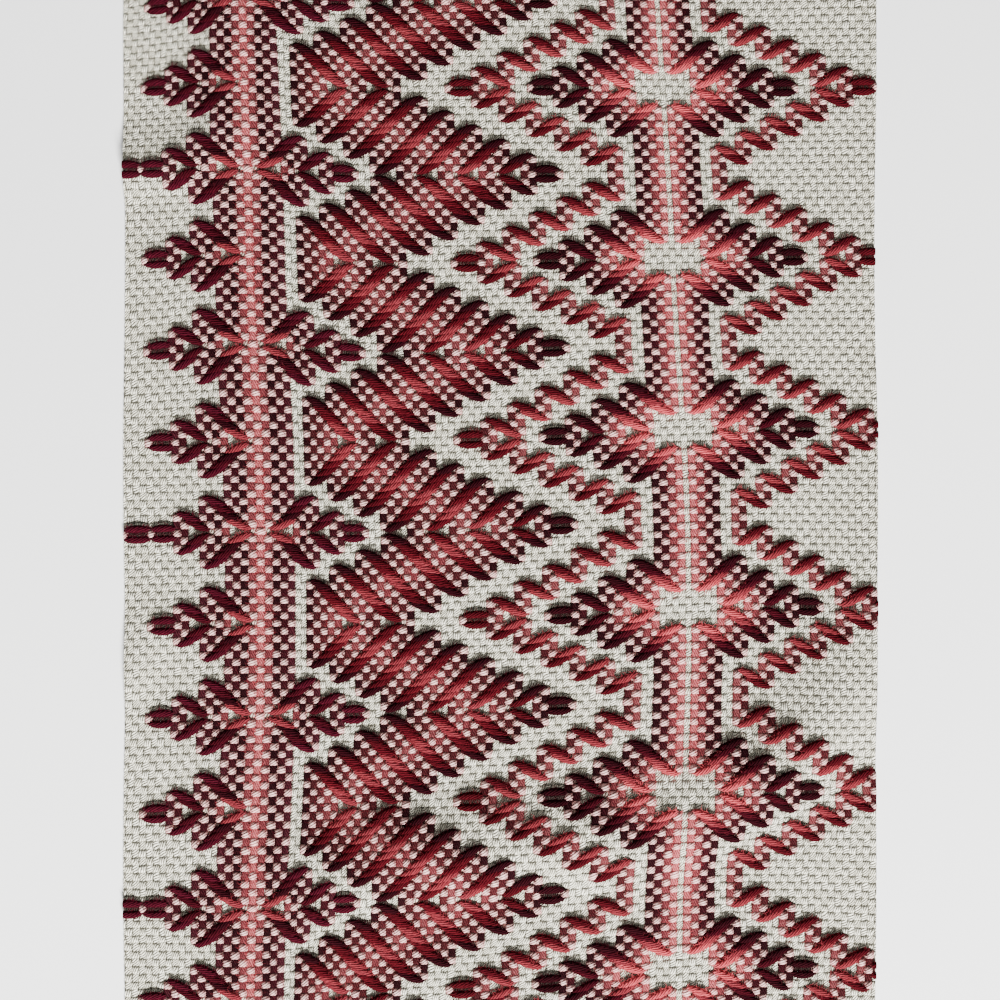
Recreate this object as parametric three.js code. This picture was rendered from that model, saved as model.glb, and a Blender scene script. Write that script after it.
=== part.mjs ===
// Embroidered cloth: a cut length of basket-weave cotton with wool darned under its floats,
// lying on a flat surface in low soft folds.
// Millimetres, +Z up. The origin is at the middle of the underside, on the surface it lies on.
// +X runs across the length, from the narrow spine to the lattice, and +Y runs along it.

import * as THREE from 'three';

// Driving dimensions
const CLOTH_WIDTH = 367.5;
const CLOTH_LENGTH = 494;
const CLOTH_THICKNESS = 1.5;     // bare basket weave
const STITCH_RISE = 1.3;         // what the wool adds where it is darned in

// The weave, counted in floats: columns to the right of the spine, rows down from its first leaf
const COLUMN_PITCH = 3.33;
const ROW_PITCH = 3.65;
const SPINE_X = -122.5;
const FIRST_ROW_Y = 160.5;
const GRAIN_LEAN = 0.016;        // the cloth lies a little off its grain
const REPEAT_ROWS = 24;

// The bands of stitching, in columns and rows
const SLANT = 2;                 // columns that each slanted edge moves in one row
const HALF_FLOAT = 0.5;          // half of the slope from bare to stitched cloth
const SPINE_HALF = 4.7;
const LEAF = { reach: 16, root: 4.2, tip: 0.8 };
const FLAME = { left: 6.5, turnRow: 7, right: 22.5 };
const LATTICE_CENTRE = 62;
const LATTICE = [
  { line: 'outer', edge: 8.5, width: 5, innermost: 6.5, waist: 0 },
  { line: 'inner', edge: -3.5, width: 12, innermost: -1, waist: 4.5 },
];

// How the hand-cut edge strays from straight, fading quickly towards the middle of the sheet
const WAVER = {
  depth: 0.5,
  fade: 5,
  sides: { rate: 0.031, phase: 0.9 },
  ends: { rate: 0.027, phase: 2.1 },
};

// The mesh: fine squares on top, and squares two fine ones wide below
const COLUMNS = 54;
const ROWS = 66;

// Folds: the crest's points (rise is its height above the surface), and how far each flank reaches
const CREST_STEPS = 40;
const FOLDS = [
  {
    name: 'long fold', north: 40, south: 34,
    crest: [
      { x: 199, y: 44, rise: 2.5 },
      { x: 190, y: -49, rise: 5.2 },
      { x: 172, y: -93, rise: 7.0 },
      { x: 147, y: -122, rise: 7.5 },
      { x: 115, y: -148, rise: 7.0 },
      { x: 69, y: -164, rise: 6.5 },
      { x: 10, y: -171, rise: 6.2 },
      { x: -49, y: -177, rise: 5.8 },
      { x: -88, y: -189, rise: 3.2 },
      { x: -127, y: -202, rise: 0 },
    ],
  },
  {
    name: 'upper corner', north: 32, south: 19,
    crest: [
      { x: -127, y: 211, rise: 0 },
      { x: -135, y: 181, rise: 2.5 },
      { x: -157, y: 164, rise: 4.0 },
      { x: -200, y: 158, rise: 4.5 },
    ],
  },
  {
    name: 'left edge', north: 26, south: 20,
    crest: [
      { x: -147, y: -44, rise: 0 },
      { x: -171, y: -70, rise: 2.5 },
      { x: -200, y: -97, rise: 3.2 },
    ],
  },
];

const crests = FOLDS.map(({ crest, north, south }) => ({
  north,
  south,
  points: new THREE.CatmullRomCurve3(crest.map(({ x, y, rise }) => new THREE.Vector3(x, y, rise)))
    .getPoints(CREST_STEPS),
}));

// Nearest place on a crest: how far off it is, on which side, and how high the crest is there
function nearestOnCrest(points, x, y) {
  let nearest = { distance: Infinity, rise: 0, side: 1 };
  for (let i = 0; i + 1 < points.length; i += 1) {
    const from = points[i];
    const along = { x: points[i + 1].x - from.x, y: points[i + 1].y - from.y };
    const away = { x: x - from.x, y: y - from.y };
    const length2 = along.x ** 2 + along.y ** 2;
    const t = THREE.MathUtils.clamp((away.x * along.x + away.y * along.y) / length2, 0, 1);
    const distance = Math.hypot(away.x - t * along.x, away.y - t * along.y);
    if (distance < nearest.distance) {
      const rise = THREE.MathUtils.lerp(from.z, points[i + 1].z, t);
      nearest = { distance, rise, side: Math.sign(along.x * away.y - along.y * away.x) };
    }
  }
  return nearest;
}

// Height of the underside: flat on the surface, and lifted in a soft bell along each crest
function foldHeight(x, y) {
  let height = 0;
  for (const { points, north, south } of crests) {
    const { distance, rise, side } = nearestOnCrest(points, x, y);
    const t = distance / (side < 0 ? north : south);
    if (t < 1) height += Math.max(rise, 0) * (1 + Math.cos(Math.PI * t)) / 2;
  }
  return height;
}

// 1 between two edges and 0 outside them, sloped over one float at each edge
function between(value, low, high) {
  const rise = THREE.MathUtils.clamp(value - low + HALF_FLOAT, 0, 1);
  return rise * THREE.MathUtils.clamp(high - value + HALF_FLOAT, 0, 1);
}

// How fully the cloth is stitched at a place: 0 bare, 1 covered
function stitched(x, y) {
  const column = (x - SPINE_X - (FIRST_ROW_Y - y) * GRAIN_LEAN) / COLUMN_PITCH;
  const row = (FIRST_ROW_Y - y) / ROW_PITCH;
  const half = REPEAT_ROWS / 2;
  const fromLeaf = Math.abs(THREE.MathUtils.euclideanModulo(row + half, REPEAT_ROWS) - half);
  const fromAnyLeaf = Math.min(fromLeaf, half - fromLeaf);

  const spine = between(column, -SPINE_HALF, SPINE_HALF);
  const outward = (Math.abs(column) - SPINE_HALF) / (LEAF.reach - SPINE_HALF);
  const leafHalf = THREE.MathUtils.lerp(LEAF.root, LEAF.tip, outward);
  const leafRow = column < 0 ? fromAnyLeaf : fromLeaf;
  const leaf = outward > 0 && outward < 1 ? between(leafRow, -leafHalf, leafHalf) : 0;

  const flameLeft = FLAME.left + SLANT * Math.max(FLAME.turnRow - fromLeaf, 0);
  const flameRight = FLAME.right + SLANT * (half - fromLeaf);
  const flame = between(column, flameLeft, flameRight);

  const fromCentre = Math.abs(column - LATTICE_CENTRE);
  const lattice = LATTICE.map(({ edge, width, innermost, waist }) => {
    const outside = edge + SLANT * fromLeaf;
    return between(fromCentre, Math.max(outside - width, innermost), Math.max(outside, waist));
  });

  return Math.max(spine, leaf, flame, ...lattice);
}

function topHeight(x, y) {
  return foldHeight(x, y) + CLOTH_THICKNESS + STITCH_RISE * stitched(x, y);
}

// Plan position of a place on the sheet, with across and along running from 0 to 1
function planPoint(across, along) {
  const x = (across - 0.5) * CLOTH_WIDTH;
  const y = (along - 0.5) * CLOTH_LENGTH;
  const { depth, fade, sides, ends } = WAVER;
  const sideways = (2 * across - 1) ** fade * depth * Math.sin(sides.rate * y + sides.phase);
  const lengthways = (2 * along - 1) ** fade * depth * Math.sin(ends.rate * x + ends.phase);
  return [x + sideways, y + lengthways];
}

function clothGeometry() {
  const positions = [];
  const indices = [];

  // One face of the sheet: gives the index of each grid point, made when it is first asked for
  const layer = (heightAt) => {
    const made = new Map();
    return (i, j) => {
      const key = j * (COLUMNS + 1) + i;
      if (!made.has(key)) {
        const [x, y] = planPoint(i / COLUMNS, j / ROWS);
        made.set(key, positions.length / 3);
        positions.push(x, y, heightAt(x, y));
      }
      return made.get(key);
    };
  };
  const top = layer(topHeight);
  const under = layer(foldHeight);

  for (let j = 0; j < ROWS; j += 1) {
    for (let i = 0; i < COLUMNS; i += 1) {
      indices.push(top(i, j), top(i + 1, j), top(i + 1, j + 1));
      indices.push(top(i, j), top(i + 1, j + 1), top(i, j + 1));
    }
  }

  // Underside: each wide square is a fan from its middle, that meets the fine points of the rim
  for (let j = 0; j < ROWS; j += 2) {
    for (let i = 0; i < COLUMNS; i += 2) {
      const ring = [under(i, j)];
      if (i === 0) ring.push(under(i, j + 1));
      ring.push(under(i, j + 2));
      if (j + 2 === ROWS) ring.push(under(i + 1, j + 2));
      ring.push(under(i + 2, j + 2));
      if (i + 2 === COLUMNS) ring.push(under(i + 2, j + 1));
      ring.push(under(i + 2, j));
      if (j === 0) ring.push(under(i + 1, j));
      const middle = under(i + 1, j + 1);
      ring.forEach((point, k) => indices.push(middle, point, ring[(k + 1) % ring.length]));
    }
  }

  // Cut edge, all the way round
  const rim = [];
  for (let i = 0; i < COLUMNS; i += 1) rim.push([i, 0]);
  for (let j = 0; j < ROWS; j += 1) rim.push([COLUMNS, j]);
  for (let i = COLUMNS; i > 0; i -= 1) rim.push([i, ROWS]);
  for (let j = ROWS; j > 0; j -= 1) rim.push([0, j]);
  rim.forEach((here, k) => {
    const next = rim[(k + 1) % rim.length];
    indices.push(under(...here), under(...next), top(...next));
    indices.push(under(...here), top(...next), top(...here));
  });

  const geometry = new THREE.BufferGeometry();
  geometry.setAttribute('position', new THREE.Float32BufferAttribute(positions, 3));
  geometry.setIndex(indices);
  geometry.computeVertexNormals();
  return geometry;
}

const clothMaterial = new THREE.MeshStandardMaterial({
  color: 0xe3dfd0,
  roughness: 0.95,
  metalness: 0,
});

const groundCloth = new THREE.Mesh(clothGeometry(), clothMaterial);
groundCloth.name = 'ground_cloth';

const embroideredCloth = new THREE.Group();
embroideredCloth.add(groundCloth);

export default embroideredCloth;
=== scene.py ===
"""Embroidered basket-weave cloth, laid out and seen from above.

Cream cotton in a coarse basket weave, with wool darned under its raised floats in a leafed
spine, a band of nested chevrons and a mirrored lattice. Places on the cloth are counted in
floats: columns to the right of the spine, and rows down from the spine's first leaf. Sizes
are in millimetres until a mesh is made of them.
"""
import logging
import math
from dataclasses import dataclass, field
from enum import Enum
from typing import NamedTuple

import bmesh
import bpy
import numpy as np
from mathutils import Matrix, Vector


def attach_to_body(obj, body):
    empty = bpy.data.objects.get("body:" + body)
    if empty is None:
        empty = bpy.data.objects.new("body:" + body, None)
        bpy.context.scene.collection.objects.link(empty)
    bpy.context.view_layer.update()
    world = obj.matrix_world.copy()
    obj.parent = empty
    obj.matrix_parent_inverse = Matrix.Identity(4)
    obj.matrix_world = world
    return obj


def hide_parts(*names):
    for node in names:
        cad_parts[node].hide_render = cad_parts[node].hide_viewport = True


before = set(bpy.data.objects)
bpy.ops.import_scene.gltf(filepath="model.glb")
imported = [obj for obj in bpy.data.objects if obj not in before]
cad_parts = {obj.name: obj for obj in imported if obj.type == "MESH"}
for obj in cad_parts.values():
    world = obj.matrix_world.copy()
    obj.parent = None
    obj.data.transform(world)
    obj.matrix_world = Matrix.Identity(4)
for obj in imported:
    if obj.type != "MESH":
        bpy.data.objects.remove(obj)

LOG = logging.getLogger("embroidered_cloth")
MM = 0.001
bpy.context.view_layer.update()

# The floats that the sheet is made from, which reach past the cut on every side
SHEET_COLUMNS = (-22, 99)
SHEET_ROWS = (-27, 114)

Array = np.ndarray
Piece = bpy.types.Object
Tree = bpy.types.NodeTree
Material = bpy.types.Material
Socket = bpy.types.NodeSocket
Value = Socket | float | tuple[float, ...]
Pair = tuple[float, float]
Colour = tuple[int, int, int]


@dataclass(frozen=True)
class Outline:
    """The cut of the cloth, in millimetres, with the unevenness of its edge."""

    width: float = 367.5
    length: float = 494.0
    waver: float = 0.5
    fade: int = 5
    side_wave: Pair = (0.031, 0.9)
    end_wave: Pair = (0.027, 2.1)

    def stray(self, x: Array, y: Array) -> tuple[Array, Array]:
        """Move points near the cut a little off the straight line.

        Args:
            x: Places across the cloth, in millimetres.
            y: Places along the cloth, in millimetres.

        Returns:
            The same places on the wavering cut.
        """
        side_turns, side_start = self.side_wave
        end_turns, end_start = self.end_wave
        sideways = ((2 * x / self.width) ** self.fade * self.waver
                    * np.sin(side_turns * y + side_start))
        endways = ((2 * y / self.length) ** self.fade * self.waver
                   * np.sin(end_turns * x + end_start))
        return x + sideways, y + endways


def find_step(knots: Array, at: Array) -> tuple[Array, Array, Array]:
    """Find the step between two knots that each place lies in.

    Args:
        knots: Rising places.
        at: The places to find.

    Returns:
        The knot that each step starts from, how far the place is along the step as a share
        of it, and the step's length.
    """
    step = np.clip(np.searchsorted(knots, at) - 1, 0, len(knots) - 2)
    span = knots[step + 1] - knots[step]
    return step, (at - knots[step]) / span, span


def hermite(share: Array, span: Array, ends: tuple[Array, Array],
            slopes: tuple[Array, Array]) -> Array:
    """Smooth curve over one step, that runs on straight past both of its ends.

    Args:
        share: How far along the step each place is.
        span: The step's length.
        ends: Values at the step's start and end.
        slopes: Slopes at the step's start and end.

    Returns:
        The value at each place.
    """
    start, end = ends
    lean, next_lean = slopes
    t = np.clip(share, 0, 1)
    curve = (
        (2 * t**3 - 3 * t**2 + 1) * start
        + (t**3 - 2 * t**2 + t) * span * lean
        + (3 * t**2 - 2 * t**3) * end
        + (t**3 - t**2) * span * next_lean
    )
    return curve + (share - t) * span * np.where(share < 0, lean, next_lean)


def smooth(knots: Array, values: Array, at: Array) -> Array:
    """Smooth curve through values given at knots.

    Args:
        knots: Rising places, one for each row of values.
        values: One row for each knot.
        at: Places to read the curve at.

    Returns:
        One row for each place in at.
    """
    slopes = np.gradient(values, knots, axis=0)
    step, share, span = find_step(knots, at)
    shape = (-1,) + (1,) * (values.ndim - 1)
    return hermite(share.reshape(shape), span.reshape(shape),
                   (values[step], values[step + 1]), (slopes[step], slopes[step + 1]))


def read_between(grid: Array, across: Array, along: Array) -> Array:
    """Read a grid at places counted in its squares, and at its edge for places past it.

    Args:
        grid: Values, with one row for each step along.
        across: Places across, counted in squares.
        along: Places along, counted in squares.

    Returns:
        The value at each place, blended from its four neighbours.
    """
    just_inside = 1.001
    across = np.clip(across, 0, grid.shape[1] - just_inside)
    along = np.clip(along, 0, grid.shape[0] - just_inside)
    i, j = across.astype(int), along.astype(int)
    s, t = across - i, along - j
    near = grid[j, i] * (1 - s) + grid[j, i + 1] * s
    far = grid[j + 1, i] * (1 - s) + grid[j + 1, i + 1] * s
    return near * (1 - t) + far * t


class CrestPoint(NamedTuple):
    """A point on a fold's crest: its place and its height above the surface, in millimetres."""

    x: float
    y: float
    rise: float


@dataclass(frozen=True)
class Fold:
    """A low soft ridge in the cloth: how far each flank reaches, and its crest."""

    north: float
    south: float
    crest: tuple[CrestPoint, ...]
    steps: int = 41

    def crest_line(self) -> Array:
        """Smooth curve through the crest points, as rows of x, y and rise."""
        knots = np.arange(len(self.crest), dtype=float)
        return smooth(knots, np.array(self.crest), np.linspace(0, knots[-1], self.steps))

    def height(self, x: Array, y: Array) -> Array:
        """Height that this fold lifts the cloth by.

        Args:
            x: Places across the cloth, in millimetres.
            y: Places along the cloth, in millimetres.

        Returns:
            The height at each place, in millimetres.
        """
        line = self.crest_line()
        nearest = np.full(x.shape, np.inf)
        lifted = np.zeros(x.shape)
        for (ax, ay, az), (bx, by, bz) in zip(line[:-1], line[1:]):
            dx, dy = bx - ax, by - ay
            t = np.clip(((x - ax) * dx + (y - ay) * dy) / (dx * dx + dy * dy), 0, 1)
            away_x, away_y = x - ax - t * dx, y - ay - t * dy
            distance = np.hypot(away_x, away_y)
            reach = np.where(dx * away_y - dy * away_x < 0, self.north, self.south)
            bell = 0.5 * (1 + np.cos(np.pi * np.clip(distance / reach, 0, 1)))
            closer = distance < nearest
            nearest = np.where(closer, distance, nearest)
            lifted = np.where(closer, np.maximum(az + t * (bz - az), 0) * bell, lifted)
        return lifted


FOLDS = (
    # From the right edge down to the lower left
    Fold(40, 34, (
        CrestPoint(199, 44, 2.5),
        CrestPoint(190, -49, 5.2),
        CrestPoint(172, -93, 7.0),
        CrestPoint(147, -122, 7.5),
        CrestPoint(115, -148, 7.0),
        CrestPoint(69, -164, 6.5),
        CrestPoint(10, -171, 6.2),
        CrestPoint(-49, -177, 5.8),
        CrestPoint(-88, -189, 3.2),
        CrestPoint(-127, -202, 0),
    )),
    # Across the upper left corner
    Fold(32, 19, (
        CrestPoint(-127, 211, 0),
        CrestPoint(-135, 181, 2.5),
        CrestPoint(-157, 164, 4.0),
        CrestPoint(-200, 158, 4.5),
    )),
    # Out to the left edge
    Fold(26, 20, (
        CrestPoint(-147, -44, 0),
        CrestPoint(-171, -70, 2.5),
        CrestPoint(-200, -97, 3.2),
    )),
)


class GrainRow(NamedTuple):
    """Where one row of floats lies: across at X_COLUMNS and along at Y_COLUMNS, in millimetres."""

    row: float
    across: tuple[float, ...]
    along: tuple[float, ...]


X_COLUMNS = (-16, 0, 4, 7, 46, 62, 94)
Y_COLUMNS = (-16, 0, 12, 46, 62, 94)
GRAIN = (
    GrainRow(-24, (-171.9, -126.2, -112.0, -102.2, 26.0, 76.9, 181.3),
             (241.0, 247.0, 243.5, 244.2, 242.5, 243.0)),
    GrainRow(0, (-174.9, -123.5, -108.3, -99.0, 28.9, 82.3, 185.2),
             (160.7, 162.2, 159.7, 159.3, 159.7, 160.7)),
    GrainRow(24, (-172.5, -120.8, -105.6, -96.0, 32.3, 86.7, 190.6),
             (72.5, 76.4, 72.5, 74.5, 76.4, 76.9)),
    GrainRow(36, (-171.5, -118.2, -102.9, -94.3, 33.8, 89.7, 193.1),
             (27.9, 28.9, 28.4, 31.4, 34.3, 34.3)),
    GrainRow(48, (-170.5, -117.1, -102.2, -93.3, 36.3, 91.6, 193.6),
             (-16.7, -15.2, -16.2, -12.0, -8.8, -8.8)),
    GrainRow(72, (-172.0, -117.6, -102.4, -93.3, 35.3, 91.9, 195.5),
             (-107.1, -105.6, -104.9, -100.2, -97.0, -97.0)),
    GrainRow(84, (-174.4, -119.6, -104.0, -94.8, 33.3, 90.2, 196.0),
             (-153.6, -151.2, -149.9, -144.6, -142.1, -142.1)),
    GrainRow(96, (-174.4, -121.0, -106.3, -97.3, 31.6, 88.4, 195.0),
             (-199.9, -199.7, -197.0, -192.1, -186.2, -185.7)),
    GrainRow(120, (-177.4, -123.0, -108.3, -100.0, 30.0, 87.7, 191.1),
             (-290.1, -289.1, -286.7, -277.3, -274.4, -273.4)),
)


class Lay:
    """How the cloth lies: its grain in plan and the height of its underside."""

    REACH = 0.6              # how far out the folds are worked out, in widths and lengths

    def __init__(self, outline: Outline, thickness: float = 1.5, pitch: float = 2.0) -> None:
        """Work out the folds once, on a grid of squares.

        Args:
            outline: The cut of the cloth.
            thickness: Thickness of the bare cloth, in millimetres.
            pitch: Size of the squares, in millimetres.
        """
        self.outline = outline
        self.thickness = thickness
        self.pitch = pitch
        self.rows = np.array([g.row for g in GRAIN], dtype=float)
        self.across = np.array([g.across for g in GRAIN])
        self.along = np.array([g.along for g in GRAIN])
        self.corner = -self.REACH * np.array([outline.width, outline.length])
        across, along = (np.arange(start, -start + pitch, pitch) for start in self.corner)
        x, y = np.meshgrid(across, along)
        self.lift = sum(fold.height(x, y) for fold in FOLDS)
        self.give = np.zeros((2, 2))
        self.give_start = (0, 0)

    def swell(self, worked: "Worked") -> None:
        """Let the worked columns swell and their bare neighbours give way.

        Args:
            worked: Where the cloth is worked. The columns of X_COLUMNS stay in place.
        """
        first = worked.columns[0]
        give = worked.sideways_give()
        known = np.array(X_COLUMNS) - first
        columns = np.arange(give.shape[1])
        for line in give:
            line -= np.interp(columns, known, line[known])
        self.give = give
        self.give_start = (first, worked.rows[0])

    def place(self, column: Array, row: Array) -> tuple[Array, Array]:
        """Plan position of places counted in floats.

        Args:
            column: Columns to the right of the spine.
            row: Rows down from the first leaf.

        Returns:
            Places across and along the cloth, in millimetres.
        """
        column = column + read_between(self.give, column - self.give_start[0],
                                       row - self.give_start[1])
        x = self._between(X_COLUMNS, smooth(self.rows, self.across, row), column)
        y = self._between(Y_COLUMNS, smooth(self.rows, self.along, row), column)
        return x, y

    @staticmethod
    def _between(columns: tuple[int, ...], values: Array, at: Array) -> Array:
        """Read each row of values at a column of its own.

        Args:
            columns: Columns that the values are given at.
            values: One row for each place in at.
            at: The column to read each row at.

        Returns:
            One value for each place in at.
        """
        knots = np.array(columns, dtype=float)
        slopes = np.gradient(values, knots, axis=1)
        step, share, span = find_step(knots, at)
        line = np.arange(len(at))
        return hermite(share, span, (values[line, step], values[line, step + 1]),
                       (slopes[line, step], slopes[line, step + 1]))

    def height(self, x: Array, y: Array) -> Array:
        """Height of the underside above the surface, in millimetres."""
        return read_between(self.lift, (x - self.corner[0]) / self.pitch,
                            (y - self.corner[1]) / self.pitch)


class Shade(Enum):
    """The wools, from the darkest to the lightest."""

    BLACK_CHERRY = "black_cherry"
    BURGUNDY = "burgundy"
    PLUM = "plum"
    DARK_RED = "dark_red"
    CRIMSON = "crimson"
    CORAL_RED = "coral_red"
    CORAL = "coral"
    SALMON = "salmon"


class Heading(Enum):
    """Which way a yarn travels under a float."""

    DOWN = 1
    UP = -1


@dataclass(frozen=True)
class Pass:
    """A float that a yarn slides under, and the yarn's way there."""

    column: int
    row: int
    heading: Heading = Heading.DOWN

    @property
    def entry(self) -> float:
        """Row where the yarn goes in."""
        return self.row - 0.5 * self.heading.value

    @property
    def exit(self) -> float:
        """Row where the yarn comes out."""
        return self.row + 0.5 * self.heading.value


@dataclass(frozen=True)
class Band:
    """Yarns side by side that climb the cloth in the same steps.

    Yarn n slides under two floats in every fourth column, first_column + n + 4k, and each
    pair is two rows nearer the crest than the last. The yarns turn back at the crest (row 0)
    and at half_repeat. A loop is a way out to a leaf's tip and back: the outermost yarn makes
    one at each crest, or the innermost yarn one at each turn. A stem is a longer loop, made
    every stem_every rows.
    """

    first_column: int
    first_row: int
    shades: tuple[Shade, ...]
    half_repeat: int = 12
    first_yarn: int = 0
    most_steps: int | None = None
    mirror: int | None = None
    crest_loop: bool = False
    turn_loop: bool = False
    stem_every: int | None = None

    STEP_COLUMNS = 4
    LOOP_STEPS = 1
    STEM_STEPS = 3

    def half_route(self, n: int) -> list[tuple[int, int]]:
        """Floats that a yarn passes from the crest to the turn.

        Args:
            n: Which yarn of the band, counted outwards.

        Returns:
            The column and row of each float.
        """
        start = self.first_row + n
        last = (start + 1) // 2
        if self.most_steps is not None:
            last = min(self.most_steps, last)
        first = max(0, math.ceil((start + 1 - self.half_repeat) / 2))
        floats = []
        for k in range(last, first - 1, -1):
            upper = start - 2 * k
            low = upper % 2 if k == last else upper
            high = self.half_repeat if k == first else upper + 2
            floats += [(self.first_column + n + self.STEP_COLUMNS * k, row)
                       for row in range(low, high + 1, 2)]
        return floats

    def route(self, n: int, rows: tuple[int, int]) -> list[Pass]:
        """Every float that a yarn passes, from the first row to the last.

        Args:
            n: Which yarn of the band, counted outwards.
            rows: Rows that the route has to cover.

        Returns:
            The passes in the order that the yarn makes them.
        """
        half = self.half_route(n)
        route: list[Pass] = []
        for leg in range(rows[0] // self.half_repeat, rows[1] // self.half_repeat + 1):
            start = leg * self.half_repeat
            if leg % 2 == 0:
                floats = [(column, start + row) for column, row in half]
            else:
                end = start + self.half_repeat
                floats = [(column, end - row) for column, row in reversed(half)]
            for column, row in floats:
                if route and (route[-1].column, route[-1].row) == (self._mirrored(column), row):
                    continue
                route += self._loop(n, column, row)
        return route

    def _mirrored(self, column: int) -> int:
        """The column, or its mirror image if the band is mirrored."""
        return column if self.mirror is None else self.mirror - column

    def _loop(self, n: int, column: int, row: int) -> list[Pass]:
        """A pass, with a loop where the yarn makes one.

        Args:
            n: Which yarn of the band, counted outwards.
            column: The float's column, before mirroring.
            row: The float's row.

        Returns:
            The pass alone, or the passes of the loop that starts and ends with it.
        """
        here = Pass(self._mirrored(column), row)
        full = 2 * self.half_repeat
        outermost = n == self.first_yarn + len(self.shades) - 1
        innermost = n == self.first_yarn
        if self.crest_loop and outermost and row % full == 0:
            step = self.STEP_COLUMNS
        elif self.turn_loop and innermost and row % full == self.half_repeat:
            step = -self.STEP_COLUMNS
        else:
            return [here]
        stem = self.stem_every is not None and row % self.stem_every == 0
        steps = self.STEM_STEPS if stem else self.LOOP_STEPS
        out = [Pass(self._mirrored(column + step * k), row, Heading.UP if k % 2 else Heading.DOWN)
               for k in range(1, steps + 1)]
        return [here, *out, *reversed(out[:-1]), here]


SPINE_SHADES = (Shade.CORAL_RED, Shade.BLACK_CHERRY, Shade.BURGUNDY, Shade.PLUM)
FLAME_SHADES = (
    Shade.BLACK_CHERRY, Shade.DARK_RED, Shade.CRIMSON, Shade.CORAL,
    Shade.CORAL_RED, Shade.CRIMSON, Shade.DARK_RED, Shade.BLACK_CHERRY,
)
OUTER_SHADES = (Shade.DARK_RED, Shade.CORAL)
INNER_SHADES = (Shade.BLACK_CHERRY, Shade.BURGUNDY, Shade.CORAL_RED, Shade.SALMON)
LATTICE_MIRROR = 124

SPINE_BANDS = (
    Band(0, 0, SPINE_SHADES, half_repeat=6, first_yarn=1, mirror=0, crest_loop=True,
         stem_every=48),
    Band(0, 0, SPINE_SHADES, first_yarn=1, crest_loop=True),
)
FLAME_BANDS = (Band(7, 7, FLAME_SHADES, crest_loop=True),)
LATTICE_BANDS = tuple(
    Band(first_column, 10, shades, most_steps=steps, turn_loop=True, mirror=mirror)
    for first_column, shades, steps in ((34, OUTER_SHADES, 5), (46, INNER_SHADES, 3))
    for mirror in (None, LATTICE_MIRROR)
)


class Station(NamedTuple):
    """A section of a yarn: its place in floats, its centre's height and its half sizes in mm."""

    column: float
    row: float
    height: float
    half_width: float
    half_depth: float


@dataclass(frozen=True)
class YarnForm:
    """The section that a yarn takes under a float, between two floats and in a long stitch.

    Each section is the height of its centre, half its width and half its depth. A stitch is
    a curve whose two handles reach hook rows along the column and a share, lean_in, across.
    """

    under: tuple[float, float, float] = (-0.15, 1.3, 0.5)
    edge: tuple[float, float, float] = (-0.1, 1.75, 0.58)
    square: tuple[float, float, float] = (0.0, 1.9, 0.62)
    stitch_end: tuple[float, float, float] = (-0.15, 0.85, 0.5)
    stitch_middle: tuple[float, float, float] = (0.75, 2.05, 1.25)
    stitch_steps: int = 18
    swell_power: float = 0.7
    hook: float = 0.3
    lean_in: float = 0.25

    def stations(self, route: list[Pass]) -> list[Station]:
        """Sections along a route.

        Args:
            route: The floats that the yarn passes.

        Returns:
            The sections in the order of the route.
        """
        made: list[Station] = []
        for here, there in zip(route[:-1], route[1:]):
            made.append(Station(here.column, here.row, *self.under))
            if here.column == there.column:
                made += self._straight(here, there)
            else:
                made += self._stitch(here, there)
        made.append(Station(route[-1].column, route[-1].row, *self.under))
        return made

    def _straight(self, here: Pass, there: Pass) -> list[Station]:
        """Sections of the square of yarn that shows between two floats of one column.

        Args:
            here: The float that the yarn comes from.
            there: The float that it goes to.

        Returns:
            The sections between the two floats.
        """
        middle = (here.row + there.row) / 2
        return [
            Station(here.column, here.exit, *self.edge),
            Station(here.column, middle, *self.square),
            Station(here.column, there.entry, *self.edge),
        ]

    def _stitch(self, here: Pass, there: Pass) -> list[Station]:
        """Sections of the long stitch that crosses the cloth between two columns.

        Args:
            here: The float that the yarn comes from.
            there: The float that it goes to.

        Returns:
            The sections between the two floats.
        """
        columns = there.column - here.column
        start = np.array([here.column, here.exit])
        end = np.array([there.column, there.entry])
        start_pull = start + (self.lean_in * columns, self.hook * here.heading.value)
        end_pull = end - (self.lean_in * columns, self.hook * there.heading.value)
        made = []
        for t in np.linspace(0, 1, self.stitch_steps):
            place = ((1 - t) ** 3 * start + 3 * (1 - t) ** 2 * t * start_pull
                     + 3 * (1 - t) * t**2 * end_pull + t**3 * end)
            swell = math.sin(math.pi * t) ** self.swell_power
            section = (thin + (thick - thin) * swell
                       for thin, thick in zip(self.stitch_end, self.stitch_middle))
            made.append(Station(*place.tolist(), *section))
        return made


def new_piece(name: str, points: Array, faces: list | Array,
              attributes: dict[str, Array]) -> Piece:
    """Make a mesh object with vector attributes on its points.

    Args:
        name: The piece's name.
        points: Positions in millimetres.
        faces: Point numbers of each face.
        attributes: Three numbers for each point, by attribute name.

    Returns:
        The new object, linked to the scene.
    """
    mesh = bpy.data.meshes.new(name)
    corners = faces if isinstance(faces, list) else faces.tolist()
    mesh.from_pydata((points * MM).tolist(), [], corners)
    for key, values in attributes.items():
        layer = mesh.attributes.new(key, "FLOAT_VECTOR", "POINT")
        layer.data.foreach_set("vector", np.asarray(values, dtype=np.float32).ravel())
    piece = bpy.data.objects.new(name, mesh)
    bpy.context.scene.collection.objects.link(piece)
    return piece


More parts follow.
